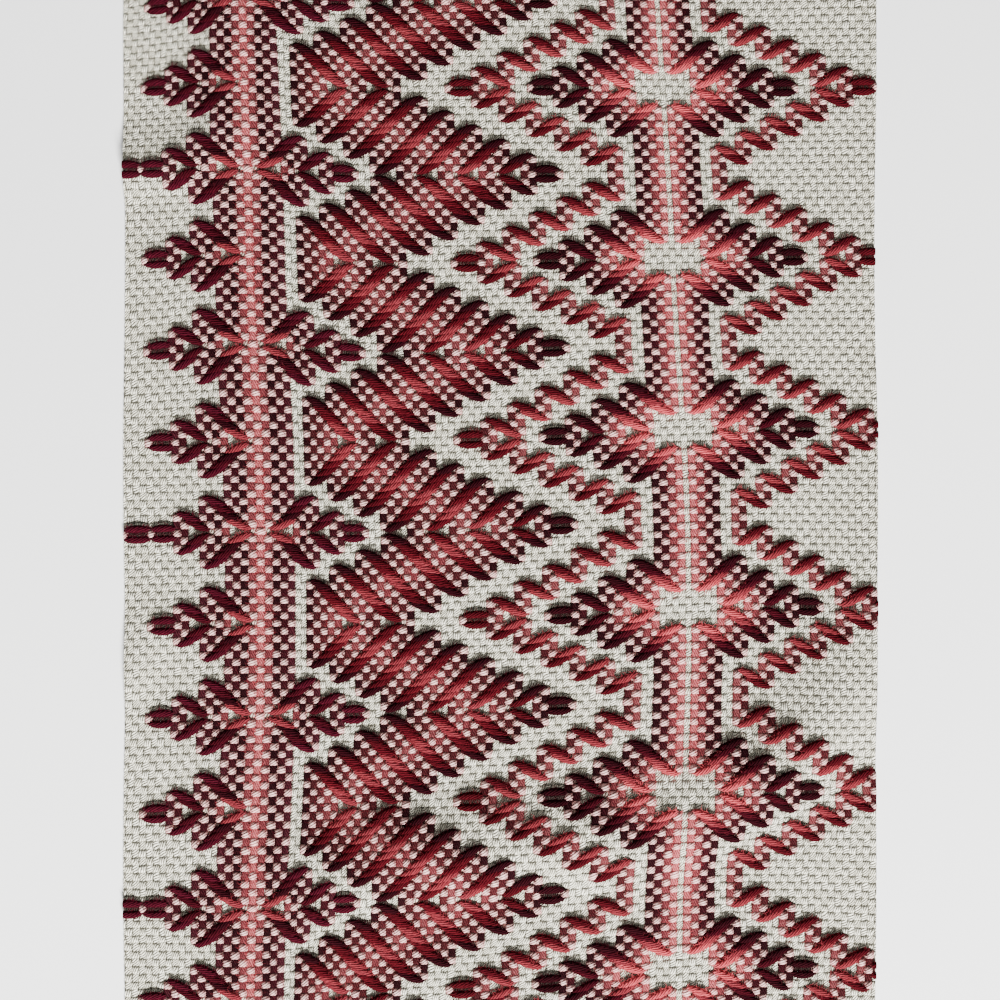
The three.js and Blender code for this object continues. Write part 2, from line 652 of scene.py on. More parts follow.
def trim(piece: Piece, outline: Outline, cap: bool = True) -> None:
    """Cut a piece off at the cloth's edges.

    Args:
        piece: The piece to cut.
        outline: The cut of the cloth.
        cap: Whether to close the cuts.
    """
    on_the_cut = 1e-7
    mesh = bmesh.new()
    mesh.from_mesh(piece.data)
    for axis, half in ((0, outline.width / 2), (1, outline.length / 2)):
        for side in (-1, 1):
            outward = Vector((0, 0, 0))
            outward[axis] = side
            cut = bmesh.ops.bisect_plane(
                mesh, geom=mesh.verts[:] + mesh.edges[:] + mesh.faces[:], dist=on_the_cut,
                plane_co=outward * half * MM, plane_no=outward, clear_outer=True)
            edges = [e for e in cut["geom_cut"]
                     if isinstance(e, bmesh.types.BMEdge) and e.is_boundary]
            if cap and edges:
                bmesh.ops.holes_fill(mesh, edges=edges, sides=0)
    loose = [v for v in mesh.verts if not v.link_faces]
    bmesh.ops.delete(mesh, geom=loose, context="VERTS")
    mesh.to_mesh(piece.data)
    mesh.free()


def waver(piece: Piece, outline: Outline) -> None:
    """Let a trimmed piece follow the wavering cut.

    Args:
        piece: The piece to move the points of.
        outline: The cut of the cloth.
    """
    points = np.empty(len(piece.data.vertices) * 3)
    piece.data.vertices.foreach_get("co", points)
    points = points.reshape(-1, 3) / MM
    points[:, 0], points[:, 1] = outline.stray(points[:, 0], points[:, 1])
    piece.data.vertices.foreach_set("co", (points * MM).ravel())
    piece.data.update()


def soften(piece: Piece, sharp_from: float = 70.0) -> None:
    """Shade a piece smooth, but for edges sharper than an angle in degrees."""
    piece.data.shade_smooth()
    piece.data.set_sharp_from_angle(angle=math.radians(sharp_from))


def cut_out(piece: Piece, outline: Outline) -> None:
    """Trim a piece of closed forms to the wavering cut, and shade it smooth.

    Args:
        piece: The piece to cut out.
        outline: The cut of the cloth.
    """
    trim(piece, outline)
    waver(piece, outline)
    soften(piece)


def attach(piece: Piece, material: Material) -> None:
    """Dress a piece in its material, and say what it rides on.

    Args:
        piece: The piece to dress.
        material: The material it gets.
    """
    piece.data.materials.clear()
    piece.data.materials.append(material)
    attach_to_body(piece, "root")
    LOG.info("%s: %d faces", piece.name, len(piece.data.polygons))


class Centreline(NamedTuple):
    """The middle of a yarn: one value of each kind for each station, in millimetres."""

    x: Array
    y: Array
    left_x: Array
    left_y: Array
    run: Array
    height: Array
    half_width: Array
    half_depth: Array


@dataclass
class Wool:
    """The darned yarns of one or more bands, one piece for each shade.

    Cotton lint lies on a yarn below the first of lint_heights, and fades out up to the second.
    """

    name: str
    bands: tuple[Band, ...]
    lay: Lay
    form: YarnForm = field(default_factory=YarnForm)
    straight_shade: Shade | None = None
    sides: int = 8
    rows: tuple[int, int] = (-36, 119)
    under_depth: float = 0.8
    lint_heights: Pair = (0.05, 0.3)
    pieces: dict[Shade, Piece] = field(default_factory=dict)

    def routes(self) -> list[tuple[Shade, list[Pass]]]:
        """The way that every yarn takes.

        Returns:
            The shade and the route of each yarn.
        """
        made = []
        for band in self.bands:
            for place, shade in enumerate(band.shades):
                made.append((shade, band.route(band.first_yarn + place, self.rows)))
        if self.straight_shade is not None:
            rows = range(self.rows[0], self.rows[1], 2)
            made.append((self.straight_shade, [Pass(0, row) for row in rows]))
        return made

    def build(self) -> None:
        """Make the pieces, one for each shade."""
        by_shade: dict[Shade, list[list[Pass]]] = {}
        for shade, route in self.routes():
            by_shade.setdefault(shade, []).append(route)
        for shade, routes in by_shade.items():
            tubes = [self._tube(route, number) for number, route in enumerate(routes)]
            faces, first = [], 0
            for tube, _, _ in tubes:
                faces.append(self._quads(len(tube) // self.sides) + first)
                first += len(tube)
            points, lie, cover = (np.concatenate(parts) for parts in zip(*tubes))
            piece = new_piece(f"{self.name}_{shade.value}", points, np.concatenate(faces),
                              {"lie": lie, "cover": cover})
            cut_out(piece, self.lay.outline)
            self.pieces[shade] = piece

    def dress(self, materials: dict[Shade, Material]) -> None:
        """Give each piece the wool of its shade."""
        for shade, piece in self.pieces.items():
            attach(piece, materials[shade])

    def centreline(self, route: list[Pass]) -> Centreline:
        """The middle of one yarn.

        Args:
            route: The floats that the yarn passes.

        Returns:
            Where its middle runs in plan, and the size of each section.
        """
        column, row, *sizes = np.array(self.form.stations(route)).T
        x, y = self.lay.place(column, row)
        ahead_x, ahead_y = np.gradient(x), np.gradient(y)
        length = np.maximum(np.hypot(ahead_x, ahead_y), 1e-6)
        run = np.concatenate([[0], np.cumsum(np.hypot(np.diff(x), np.diff(y)))])
        return Centreline(x, y, -ahead_y / length, ahead_x / length, run, *sizes)

    def _tube(self, route: list[Pass], number: int) -> tuple[Array, Array, Array]:
        """Points of one yarn, section by section, and how its surface runs.

        Args:
            route: The floats that the yarn passes.
            number: Which yarn of its piece, so that no two look alike.

        Returns:
            Points in millimetres; for each the distance along, the distance across and the
            yarn's number; and for each how much cotton lint lies on it, three times over.
        """
        line = self.centreline(route)
        turn = 2 * np.pi * (np.arange(self.sides) + 0.5) / self.sides
        across = line.half_width[:, None] * np.cos(turn)
        rise = np.sin(turn)
        up = line.half_depth[:, None] * np.where(rise > 0, rise, rise * self.under_depth)
        points = np.empty((len(line.x), self.sides, 3))
        points[:, :, 0] = line.x[:, None] + line.left_x[:, None] * across
        points[:, :, 1] = line.y[:, None] + line.left_y[:, None] * across
        ground = self.lay.height(points[:, :, 0].ravel(), points[:, :, 1].ravel())
        points[:, :, 2] = (ground.reshape(across.shape) + self.lay.thickness
                           + line.height[:, None] + up)
        lie = np.stack([np.broadcast_to(line.run[:, None], across.shape), across,
                        np.full(across.shape, float(number))], axis=-1)
        lint = np.interp(line.height, self.lint_heights, (1, 0))
        cover = np.repeat(lint, self.sides)[:, None] * np.ones(3)
        return points.reshape(-1, 3), lie.reshape(-1, 3), cover

    def _quads(self, sections: int) -> Array:
        """Faces of a tube.

        Args:
            sections: How many sections the tube has.

        Returns:
            Four point numbers for each face.
        """
        section, side = np.meshgrid(np.arange(sections - 1), np.arange(self.sides), indexing="ij")
        here = section * self.sides + side
        beside = section * self.sides + (side + 1) % self.sides
        return np.stack([here, beside, beside + self.sides, here + self.sides], -1).reshape(-1, 4)


@dataclass
class LooseFibres:
    """The haze of fine fibres that stand off the wool of one shade.

    They start at a share, rooted, of the yarn's half width, and reach over the cotton beside
    it at a height of float_top.
    """

    lay: Lay
    wools: list[Wool]
    shade: Shade
    spacing: float = 0.55
    shown_from: float = -0.15
    length: Pair = (1.5, 3.8)
    half_width: float = 0.08
    rooted: Pair = (0.6, 0.97)
    sunk: float = 0.1
    spread: float = 1.2
    bend: float = 0.5
    float_top: Pair = (1.3, 1.7)
    margin: float = 0.3
    strand_range: Pair = (0, 50)
    seed: int = 23
    pieces: list[Piece] = field(default_factory=list)

    # Each point's share of the length, its side, and its share of the bend
    RIBBON = ((0, -1, 0), (0, 1, 0), (0.5, -1, 0), (0.5, 1, 0), (1, 0, 1))
    FACES = ((0, 1, 3, 2), (2, 3, 4))

    def build(self) -> None:
        """Make the fibres as one piece of narrow pointed ribbons."""
        random = np.random.default_rng(self.seed + len(self.shade.value))
        lines = [wool.centreline(route) for wool in self.wools
                 for shade, route in wool.routes() if shade is self.shade]
        points = np.concatenate([self._along(line, random) for line in lines])
        outline = self.lay.outline
        inside = ((np.abs(points[:, :, 0]) < outline.width / 2 - self.margin)
                  & (np.abs(points[:, :, 1]) < outline.length / 2 - self.margin)).all(axis=1)
        points = points[inside]
        first = len(self.RIBBON) * np.arange(len(points))[:, None]
        faces = [corners for face in self.FACES for corners in (first + face).tolist()]
        lie = np.zeros(points.shape)
        lie[:, :, 0] = random.uniform(*self.strand_range, (len(points), 1))
        piece = new_piece(f"{self.shade.value}_fibres", points.reshape(-1, 3), faces,
                          {"lie": lie.reshape(-1, 3)})
        waver(piece, outline)
        self.pieces.append(piece)

    def dress(self, materials: dict[Shade, Material]) -> None:
        """Give the fibres the wool of their shade."""
        attach(self.pieces[0], materials[self.shade])

    def _along(self, line: Centreline, random: np.random.Generator) -> Array:
        """Fibres of one yarn.

        Args:
            line: The yarn's middle.
            random: Where chance comes from.

        Returns:
            The points of each fibre, in the order of RIBBON.
        """
        at = random.uniform(0, line.run[-1], int(line.run[-1] / self.spacing))
        at = at[np.interp(at, line.run, line.height) > self.shown_from]
        count = len(at)
        x, y, left_x, left_y, _, height, half_width, half_depth = (
            np.interp(at, line.run, values) for values in line)
        across = random.uniform(*self.rooted, count) * random.choice((-1, 1), count)
        x = x + left_x * across * half_width
        y = y + left_y * across * half_width
        ground = self.lay.height(x, y) + self.lay.thickness
        rise = height + half_depth * np.sqrt(1 - across**2)
        outward = np.arctan2(left_y, left_x) + np.where(across < 0, np.pi, 0)
        turn = outward + random.uniform(-self.spread, self.spread, count)
        length = random.uniform(*self.length, count)
        points = np.empty((count, len(self.RIBBON), 3))
        for place, (share, side, bent) in enumerate(self.RIBBON):
            angle = turn + bent * self.bend * np.sign(across)
            ahead_x, ahead_y = np.cos(angle), np.sin(angle)
            points[:, place, 0] = x + ahead_x * length * share - ahead_y * side * self.half_width
            points[:, place, 1] = y + ahead_y * length * share + ahead_x * side * self.half_width
        top = random.uniform(*self.float_top, count)
        points[:, :2, 2] = (ground + rise - self.sunk)[:, None]
        points[:, 2:4, 2] = (ground + np.maximum(rise, top))[:, None]
        points[:, 4, 2] = ground + top
        return points


class Worked:
    """Which floats the wool runs under, which squares it covers, and how far its colour spreads."""

    PER_FLOAT = 2            # squares of the covered grid to each float
    BLUSH_BLUR = 2

    def __init__(self, wools: list[Wool], columns: tuple[int, int],
                 rows: tuple[int, int]) -> None:
        """Read every route once.

        Args:
            wools: The yarns.
            columns: First and last column of the cloth.
            rows: First and last row of the cloth.
        """
        self.columns = columns
        self.rows = rows
        self.raised: dict[tuple[int, int], int] = {}
        self.beneath: dict[tuple[int, int], Shade] = {}
        width, length = columns[1] - columns[0], rows[1] - rows[0]
        self.covered = np.zeros((self.PER_FLOAT * length + 1, self.PER_FLOAT * width + 1))
        for wool in wools:
            for shade, route in wool.routes():
                self._follow(shade, route)
                self._cover(wool.form.stations(route))
        self.blush = self._spread(self.covered, self.BLUSH_BLUR)

    def _follow(self, shade: Shade, route: list[Pass]) -> None:
        """Count how often each float is passed under, and by which shade.

        Args:
            shade: The yarn's shade.
            route: The floats that it passes.
        """
        for step in route:
            across = self.columns[0] < step.column < self.columns[1]
            if across and self.rows[0] < step.row < self.rows[1]:
                key = (step.column, step.row)
                self.raised[key] = self.raised.get(key, 0) + 1
                self.beneath[key] = shade

    def _squares(self, column: Array, row: Array) -> tuple[Array, Array]:
        """Nearest squares of the covered grid, down and across, to places counted in floats."""
        j = np.rint(self.PER_FLOAT * (row - self.rows[0])).astype(int)
        return j, np.rint(self.PER_FLOAT * (column - self.columns[0])).astype(int)

    def _cover(self, stations: list[Station]) -> None:
        """Mark the squares that a yarn lies on.

        Args:
            stations: The yarn's sections.
        """
        column, row, *_ = np.array(stations).T
        j, i = self._squares(column, row)
        inside = (0 <= i) & (i < self.covered.shape[1]) & (0 <= j) & (j < self.covered.shape[0])
        self.covered[j[inside], i[inside]] = 1

    @staticmethod
    def _spread(values: Array, times: int) -> Array:
        """Blur a grid over its neighbours.

        Args:
            values: The grid.
            times: How often it is blurred.

        Returns:
            The blurred grid, from 0 to 1.
        """
        for _ in range(times):
            padded = np.pad(values, 1, mode="edge")
            rows = padded[:-2] + 2 * padded[1:-1] + padded[2:]
            values = (rows[:, :-2] + 2 * rows[:, 1:-1] + rows[:, 2:]) / 16
        return np.clip(values, 0, 1)

    def sideways_give(self, swelling: float = 0.36, window: int = 7, blur: int = 2) -> Array:
        """How far each float moves sideways, in columns.

        Args:
            swelling: How much wider a worked column is than a bare one, as a share.
            window: How many columns on each side make room for it.
            blur: How often the worked floats are blurred along their columns.

        Returns:
            One value for each float, with one row for each row of the cloth.
        """
        held = np.zeros((self.rows[1] - self.rows[0] + 1, self.columns[1] - self.columns[0] + 1))
        # Every second row is worked, so a worked float stands for two
        for column, row in self.raised:
            held[row - self.rows[0], column - self.columns[0]] = 2
        for _ in range(blur):
            padded = np.pad(held, ((1, 1), (0, 0)), mode="edge")
            held = (padded[:-2] + 2 * padded[1:-1] + padded[2:]) / 4
        room = np.ones(2 * window + 1) / (2 * window + 1)
        padded = np.pad(held, ((0, 0), (window, window)), mode="edge")
        around = np.array([np.convolve(line, room, mode="valid") for line in padded])
        excess = swelling * (held - around)
        return np.cumsum(excess, axis=1) - excess / 2

    def blush_at(self, column: Array, row: Array) -> Array:
        """How pink the cotton is at places counted in floats.

        Args:
            column: Columns to the right of the spine.
            row: Rows down from the first leaf.

        Returns:
            The nearest value of the blush, from 0 to 1.
        """
        j, i = self._squares(column, row)
        last_j, last_i = np.array(self.blush.shape) - 1
        return self.blush[np.clip(j, 0, last_j), np.clip(i, 0, last_i)]


@dataclass
class GroundCloth:
    """The basket weave itself: a pillow for each float on top, and a plainer underside."""

    lay: Lay
    worked: Worked
    column_dip: float = 0.25
    row_dip: float = 0.5
    corner_dip: float = 0.8
    sunk: float = 0.35
    shift: float = 0.05
    top_parts: int = 2
    under_parts: int = 1
    edge_nearness: float = 0.01
    seed: int = 11
    pieces: list[Piece] = field(default_factory=list)

    def build(self) -> None:
        """Make the sheet, cut to the outline."""
        top, under = self._layer(is_top=True), self._layer(is_top=False)
        for layer in (top, under):
            trim(layer, self.lay.outline, cap=False)
        sheet = self._close(top, under)
        waver(sheet, self.lay.outline)
        soften(sheet)
        self.pieces.append(sheet)

    def dress(self, effects: "Effects") -> None:
        """Give the sheet its cotton, and let it stand for the solid cloth."""
        attach(self.pieces[0], FLAT_COTTON.material(effects))
        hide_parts("ground_cloth")

    def _dip(self, column: Array, row: Array) -> Array:
        """How low the top lies at whole and half floats: least in a float's middle."""
        between = (column % 1 != 0) + 2 * (row % 1 != 0)
        return np.choose(between, (0.0, self.column_dip, self.row_dip, self.corner_dip))

    def _layer(self, is_top: bool) -> Piece:
        """One face of the cloth.

        Args:
            is_top: Whether it is the top, or else the underside, which only follows the folds.

        Returns:
            The face, still past the outline all round.
        """
        parts = self.top_parts if is_top else self.under_parts
        first_column, last_column = self.worked.columns
        first_row, last_row = self.worked.rows
        half_step = 1 / (2 * parts)
        across = np.arange(first_column, last_column + half_step, 1 / parts)
        along = np.arange(first_row, last_row + half_step, 1 / parts)
        column, row = (grid.ravel() for grid in np.meshgrid(across, along))
        uneven = np.random.default_rng(self.seed).normal(0, self.shift, (2, len(column)))
        x, y = self.lay.place(column + uneven[0], row + uneven[1])
        z = self.lay.height(x, y)
        i, j = np.meshgrid(np.arange(len(across) - 1), np.arange(len(along) - 1))
        here = (j * len(across) + i).ravel()
        faces = np.stack([here, here + len(across), here + len(across) + 1, here + 1], axis=-1)
        blush = self.worked.blush_at(column, row)
        if is_top:
            z = z + self.lay.thickness - self._dip(column, row) - self.sunk * blush
        else:
            faces = faces[:, ::-1]
        return new_piece("top" if is_top else "under", np.stack([x, y, z], axis=-1), faces,
                         {"weave": np.stack([column, row, blush], axis=-1)})

    def _rim(self, mesh: bmesh.types.BMesh) -> list[tuple[float, bmesh.types.BMVert]]:
        """Points on a trimmed layer's edge.

        Args:
            mesh: The layer.

        Returns:
            How far round the outline each point is from one corner, in millimetres, and the
            point, in order.
        """
        half_width, half_length = self.lay.outline.width / 2, self.lay.outline.length / 2
        rim = []
        for vert in mesh.verts:
            if not vert.is_boundary:
                continue
            x, y = vert.co.x / MM, vert.co.y / MM
            if abs(y + half_length) < self.edge_nearness:
                place = x + half_width
            elif abs(x - half_width) < self.edge_nearness:
                place = 2 * half_width + y + half_length
            elif abs(y - half_length) < self.edge_nearness:
                place = 3 * half_width + 2 * half_length - x
            else:
                place = 4 * half_width + 3 * half_length - y
            rim.append((place, vert))
        return sorted(rim, key=lambda entry: entry[0])

    def _close(self, top: Piece, under: Piece) -> Piece:
        """Join the two faces of the cloth with a wall along the cut.

        Args:
            top: The upper face, which becomes the sheet.
            under: The lower face, which is taken away.

        Returns:
            The sheet.
        """
        mesh = bmesh.new()
        mesh.from_mesh(top.data)
        upper = self._rim(mesh)
        lower_mesh = bmesh.new()
        lower_mesh.from_mesh(under.data)
        lower_places = [(place, vert.index) for place, vert in self._rim(lower_mesh)]
        lower_mesh.free()
        first = len(mesh.verts)
        mesh.from_mesh(under.data)
        mesh.verts.ensure_lookup_table()
        lower = [(place, mesh.verts[first + index]) for place, index in lower_places]
        whole = 2 * (self.lay.outline.width + self.lay.outline.length)
        for rim in (upper, lower):
            rim.append((rim[0][0] + whole, rim[0][1]))
        i = j = 0
        while i < len(lower) - 1 or j < len(upper) - 1:
            take_lower = j == len(upper) - 1 or (
                i < len(lower) - 1 and lower[i + 1][0] <= upper[j + 1][0])
            if take_lower:
                mesh.faces.new((lower[i][1], lower[i + 1][1], upper[j][1]))
                i += 1
            else:
                mesh.faces.new((lower[i][1], upper[j + 1][1], upper[j][1]))
                j += 1
        bmesh.ops.recalc_face_normals(mesh, faces=mesh.faces[:])
        mesh.to_mesh(top.data)
        mesh.free()
        bpy.data.objects.remove(under)
        top.name = "cotton_cloth"
        return top


@dataclass
class RaisedFloats:
    """The floats that the wool lifts: a rounded bridge of cotton over each pass.

    A bridge reaches out from its middle by the two parts of reach, in columns and rows.
    """

    lay: Lay
    worked: Worked
    reach: Pair = (0.61, 0.54)
    uneven: float = 0.05
    rise: float = 1.9
    extra_rise: float = 0.1
    rim_depth: float = 0.65
    corner_pull: float = 0.07
    arch_powers: tuple[int, int] = (3, 4)
    ticks: tuple[float, ...] = (-1, -0.8, 0, 0.8, 1)
    pattern_reach: float = 0.4
    middle_pink: float = 0.45
    rim_pink_and_shade: float = 0.4
    seed: int = 5
    pieces: list[Piece] = field(default_factory=list)

    def build(self) -> None:
        """Make all the bridges as one piece."""
        floats = sorted(self.worked.raised)
        random = np.random.default_rng(self.seed)
        size = 1 + random.normal(0, self.uneven, (len(floats), 3))
        centre = np.array(floats, dtype=float)
        passes = np.array([self.worked.raised[f] for f in floats])
        p, q = (grid.ravel() for grid in np.meshgrid(self.ticks, self.ticks))
        # The corners are drawn in, so that a bridge is rounded in plan
        pull = 1 - self.corner_pull * (p * q) ** 2
        columns = centre[:, :1] + self.reach[0] * size[:, :1] * p * pull
        rows = centre[:, 1:] + self.reach[1] * size[:, 1:2] * q * pull
        x, y = self.lay.place(columns.ravel(), rows.ravel())
        across, along = (np.sqrt(np.clip(1 - np.abs(ticks) ** power, 0, 1))
                         for ticks, power in zip((p, q), self.arch_powers))
        rise = (self.rise * size[:, 2] + self.extra_rise * (passes - 1))[:, None] * (across * along)
        z = self.lay.height(x, y) + self.lay.thickness - self.rim_depth + rise.ravel()
        points = np.stack([x, y, z], axis=-1)
        own = (centre[:, :1] + self.pattern_reach * p, centre[:, 1:] + self.pattern_reach * q)
        # Pink from the wool's fibres on every bridge, and painted shade that grows towards each
        # bridge's rim
        rim = np.maximum(np.abs(p), np.abs(q))
        pink_and_rim_shade = np.broadcast_to(self.middle_pink + self.rim_pink_and_shade * rim, columns.shape)
        weave = np.stack([own[0].ravel(), own[1].ravel(), pink_and_rim_shade.ravel()], axis=-1)
        wool = np.array([srgb(*WOOL_FINISHES[self.worked.beneath[f]].light)[:3] for f in floats])
        piece = new_piece("raised_floats", points, self._faces(len(floats)),
                          {"weave": weave, "beneath": np.repeat(wool, len(p), axis=0)})
        cut_out(piece, self.lay.outline)
        self.pieces.append(piece)

    def dress(self, effects: "Effects") -> None:
        """Give the bridges their cotton."""
        attach(self.pieces[0], RAISED_COTTON.material(effects))

    def _faces(self, count: int) -> list[tuple[int, ...]]:
        """Faces of every bridge: squares on top, and one face below that closes it.

        Args:
            count: How many bridges there are.

        Returns:
            The point numbers of each face.
        """
        side = len(self.ticks)
        last = side - 1
        own = [(j * side + i, (j + 1) * side + i, (j + 1) * side + i + 1, j * side + i + 1)
               for j in range(last) for i in range(last)]
        ring = ([j * side for j in range(side)]
                + [last * side + i for i in range(1, side)]
                + [j * side + last for j in range(last - 1, -1, -1)]
                + [i for i in range(last - 1, 0, -1)])
        own.append(tuple(reversed(ring)))
        return [tuple(side * side * n + point for point in face)
                for n in range(count) for face in own]


class NodeKit:
    """Short ways to add and join nodes in one tree."""

    MIX_SOCKETS = {"FLOAT": (2, 3, 0), "RGBA": (6, 7, 2)}

    def __init__(self, tree: Tree) -> None:
        """Work on the given tree."""
        self.tree = tree

    def node(self, kind: str, *inputs: Value, **settings: object) -> bpy.types.Node:
        """Add a node.

        Args:
            kind: The node's type.
            *inputs: What its first inputs take, in order.
            **settings: Its properties, by name.

        Returns:
            The new node.
        """
        made = self.tree.nodes.new(kind)
        for key, setting in settings.items():
            setattr(made, key, setting)
        for place, value in enumerate(inputs):
            self.link(value, made.inputs[place])
        return made

    def link(self, source: Value, target: Socket) -> None:
        """Join an output to an input, or set the input to a value.

        Args:
            source: The output or the value.
            target: The input.
        """
        if isinstance(source, Socket):
            self.tree.links.new(source, target)
        else:
            target.default_value = source

    def math(self, operation: str, *inputs: Value) -> Socket:
        """A Math node's result."""
        return self.node("ShaderNodeMath", *inputs, operation=operation).outputs[0]

    def times(self, first: Value, second: Value) -> Socket:
        """Two numbers multiplied."""
        return self.math("MULTIPLY", first, second)

    def ramp(self, value: Value, low: float, high: float, start: float = 0.0,
             end: float = 1.0) -> Socket:
        """A value moved smoothly from the range low to high to the range start to end."""
        return self.node("ShaderNodeMapRange", value, low, high, start, end,
                         interpolation_type="SMOOTHSTEP").outputs[0]

    def mix(self, share: Value, first: Value, second: Value, kind: str = "RGBA") -> Socket:
        """Mix two colours, or two numbers.

        Args:
            share: How much of the second there is.
            first: The first colour or number.
            second: The second colour or number.
            kind: RGBA for colours, and FLOAT for numbers.

        Returns:
            The mixture.
        """
        first_place, second_place, result = self.MIX_SOCKETS[kind]
        made = self.node("ShaderNodeMix", share, data_type=kind)
        self.link(first, made.inputs[first_place])
        self.link(second, made.inputs[second_place])
        return made.outputs[result]

    def noise(self, vector: Value, scale: Value, detail: float = 2.0) -> Socket:
        """Noise read at a vector.

        Args:
            vector: Where it is read.
            scale: How fine it is.
            detail: How many finer layers are added.

        Returns:
            The noise, from 0 to 1.
        """
        made = self.node("ShaderNodeTexNoise", vector)
        self.link(scale, made.inputs["Scale"])
        made.inputs["Detail"].default_value = detail
        return made.outputs["Fac"]

    def split(self, vector: Value) -> bpy.types.NodeOutputs:
        """The three parts of a vector."""
        return self.node("ShaderNodeSeparateXYZ", vector).outputs

    def join(self, *parts: Value) -> Socket:
        """A vector made of up to three parts."""
        return self.node("ShaderNodeCombineXYZ", *parts).outputs[0]

    def attribute(self, name: str) -> Socket:
        """A vector that the mesh carries."""
        return self.node("ShaderNodeAttribute", attribute_name=name).outputs["Vector"]

    def effect(self, group: Tree, **inputs: Value) -> bpy.types.NodeOutputs:
        """Add a node group.

        Args:
            group: The group.
            **inputs: What its inputs take, by name.

        Returns:
            The group's outputs.
        """
        made = self.node("ShaderNodeGroup", node_tree=group)
        for name, value in inputs.items():
            self.link(value, made.inputs[name])
        return made.outputs


def new_group(name: str, inputs: dict[str, float | None],
              outputs: tuple[str, ...]) -> tuple[NodeKit, dict[str, Socket], bpy.types.Node]:
    """Start a shader node group.

    Args:
        name: The group's name.
        inputs: The default of each number that it takes, or None where it takes a vector.
        outputs: The numbers that it gives.

    Returns:
        A kit that works on the group, its input sockets by name, and its output node.
    """
    tree = bpy.data.node_groups.new(name, "ShaderNodeTree")
    for label, default in inputs.items():
        kind = "NodeSocketVector" if default is None else "NodeSocketFloat"
        socket = tree.interface.new_socket(label, in_out="INPUT", socket_type=kind)
        if default is not None:
            socket.default_value = default
    for label in outputs:
        tree.interface.new_socket(label, in_out="OUTPUT", socket_type="NodeSocketFloat")
    kit = NodeKit(tree)
    given = kit.node("NodeGroupInput").outputs
    return kit, {label: given[label] for label in inputs}, kit.node("NodeGroupOutput")


class Effects:
    """Node groups that the finishes use."""

    def __init__(self) -> None:
        """Build each group once."""
        self.fibre = self._fibre()
        self.twist = self._twist()
        self.basket = self._basket()

    def _fibre(self) -> Tree:
        """Fine fibres, read in object space.

        Returns:
            The group.
        """
        kit, given, out = new_group("fibre_grain", {"Scale": 1500.0}, ("Fine",))
        place = kit.node("ShaderNodeTexCoord").outputs["Object"]
        kit.link(kit.noise(place, given["Scale"], 3.0), out.inputs["Fine"])
        return kit.tree

    def _twist(self) -> Tree:
        """Plies that wind round a yarn, from the distances along and across it.

        Returns:
            The group.
        """
        kit, given, out = new_group("ply_twist", {"Lie": None, "Ply Pitch": 2.3, "Lean": 0.85},
                                    ("Height", "Groove Shade", "Strand"))
        lie = kit.split(given["Lie"])
        along = kit.math("DIVIDE", lie[0], given["Ply Pitch"])
        even = kit.math("SUBTRACT", along, kit.times(lie[1], given["Lean"]))
        wander = kit.node("ShaderNodeVectorMath", given["Lie"], (0.5, 0.9, 3.7),
                          operation="MULTIPLY")
        phase = kit.math("ADD", even, kit.times(kit.noise(wander.outputs[0], 1.0), 0.9))
        wave = kit.math("ABSOLUTE", kit.math("SINE", kit.times(phase, math.pi)))
        kit.link(kit.math("POWER", wave, 0.6), out.inputs["Height"])
        # Painted shade in the grooves between the plies
        kit.link(kit.ramp(wave, 0.0, 0.55, 1.0, 0.0), out.inputs["Groove Shade"])
        strand = kit.join(kit.times(phase, 6.0), kit.times(along, 0.6), lie[2])
        kit.link(kit.noise(strand, 1.0, 3.0), out.inputs["Strand"])
        return kit.tree

    def _basket(self) -> Tree:
        """Threads of a basket weave, from places counted in floats.

        Returns:
            The group.
        """
        kit, given, out = new_group("basket_weave", {"Weave": None, "Threads": 3.0, "Slant": 0.6},
                                    ("Height", "Gap Shade", "Seam", "Hole Shade", "Tint"))
        weave = kit.split(given["Weave"])
        near_column, near_row = kit.math("ROUND", weave[0]), kit.math("ROUND", weave[1])
        u = kit.math("SUBTRACT", weave[0], near_column)
        v = kit.math("SUBTRACT", weave[1], near_row)
        own = kit.node("ShaderNodeTexWhiteNoise", noise_dimensions="2D")
        kit.link(kit.join(near_column, near_row), own.inputs["Vector"])
        chance = own.outputs["Value"]

        # Threads lie level in one float and upright in the next, each float at its own slant
        slant = kit.times(given["Slant"], kit.math("ADD", chance, 0.5))
        upright = kit.math("FLOORED_MODULO", kit.math("ADD", near_column, near_row), 2.0)
        level_across = kit.math("ADD", v, kit.times(u, slant))
        upright_across = kit.math("ADD", u, kit.times(v, kit.times(slant, 0.5)))
        across = kit.mix(upright, level_across, upright_across, "FLOAT")
        along = kit.mix(upright, u, v, "FLOAT")
        turns = kit.math("ADD", kit.times(across, given["Threads"]), kit.times(chance, 0.6))
        thread = kit.math("ABSOLUTE", kit.math("COSINE", kit.times(turns, math.pi)))
        from_middle = kit.math("POWER", kit.math("ABSOLUTE", kit.times(along, 2.0)), 3.0)
        fall = kit.math("SUBTRACT", 1.0, from_middle)
        round_thread = kit.math("ADD", 0.4, kit.times(kit.math("POWER", thread, 0.6), 0.6))
        kit.link(kit.times(fall, round_thread), out.inputs["Height"])
        # Painted shade in the gaps between the threads
        kit.link(kit.ramp(thread, 0.1, 0.85, 1.0, 0.0), out.inputs["Gap Shade"])
        kit.link(chance, out.inputs["Tint"])

        # Painted shade in the seams between floats, darker in the ones across the cloth, and in the
        # holes at the corners
        off_column, off_row = kit.math("ABSOLUTE", u), kit.math("ABSOLUTE", v)
        uneven = kit.ramp(kit.noise(given["Weave"], 1.3), 0.35, 0.65, 0.35, 1.0)
        column_seam_shade = kit.times(kit.ramp(off_column, 0.38, 0.5), 0.55)
        seam_shade = kit.math("MAXIMUM", kit.ramp(off_row, 0.34, 0.5), column_seam_shade)
        kit.link(kit.times(seam_shade, uneven), out.inputs["Seam"])
        kit.link(kit.ramp(kit.times(off_column, off_row), 0.15, 0.23), out.inputs["Hole Shade"])
        return kit.tree


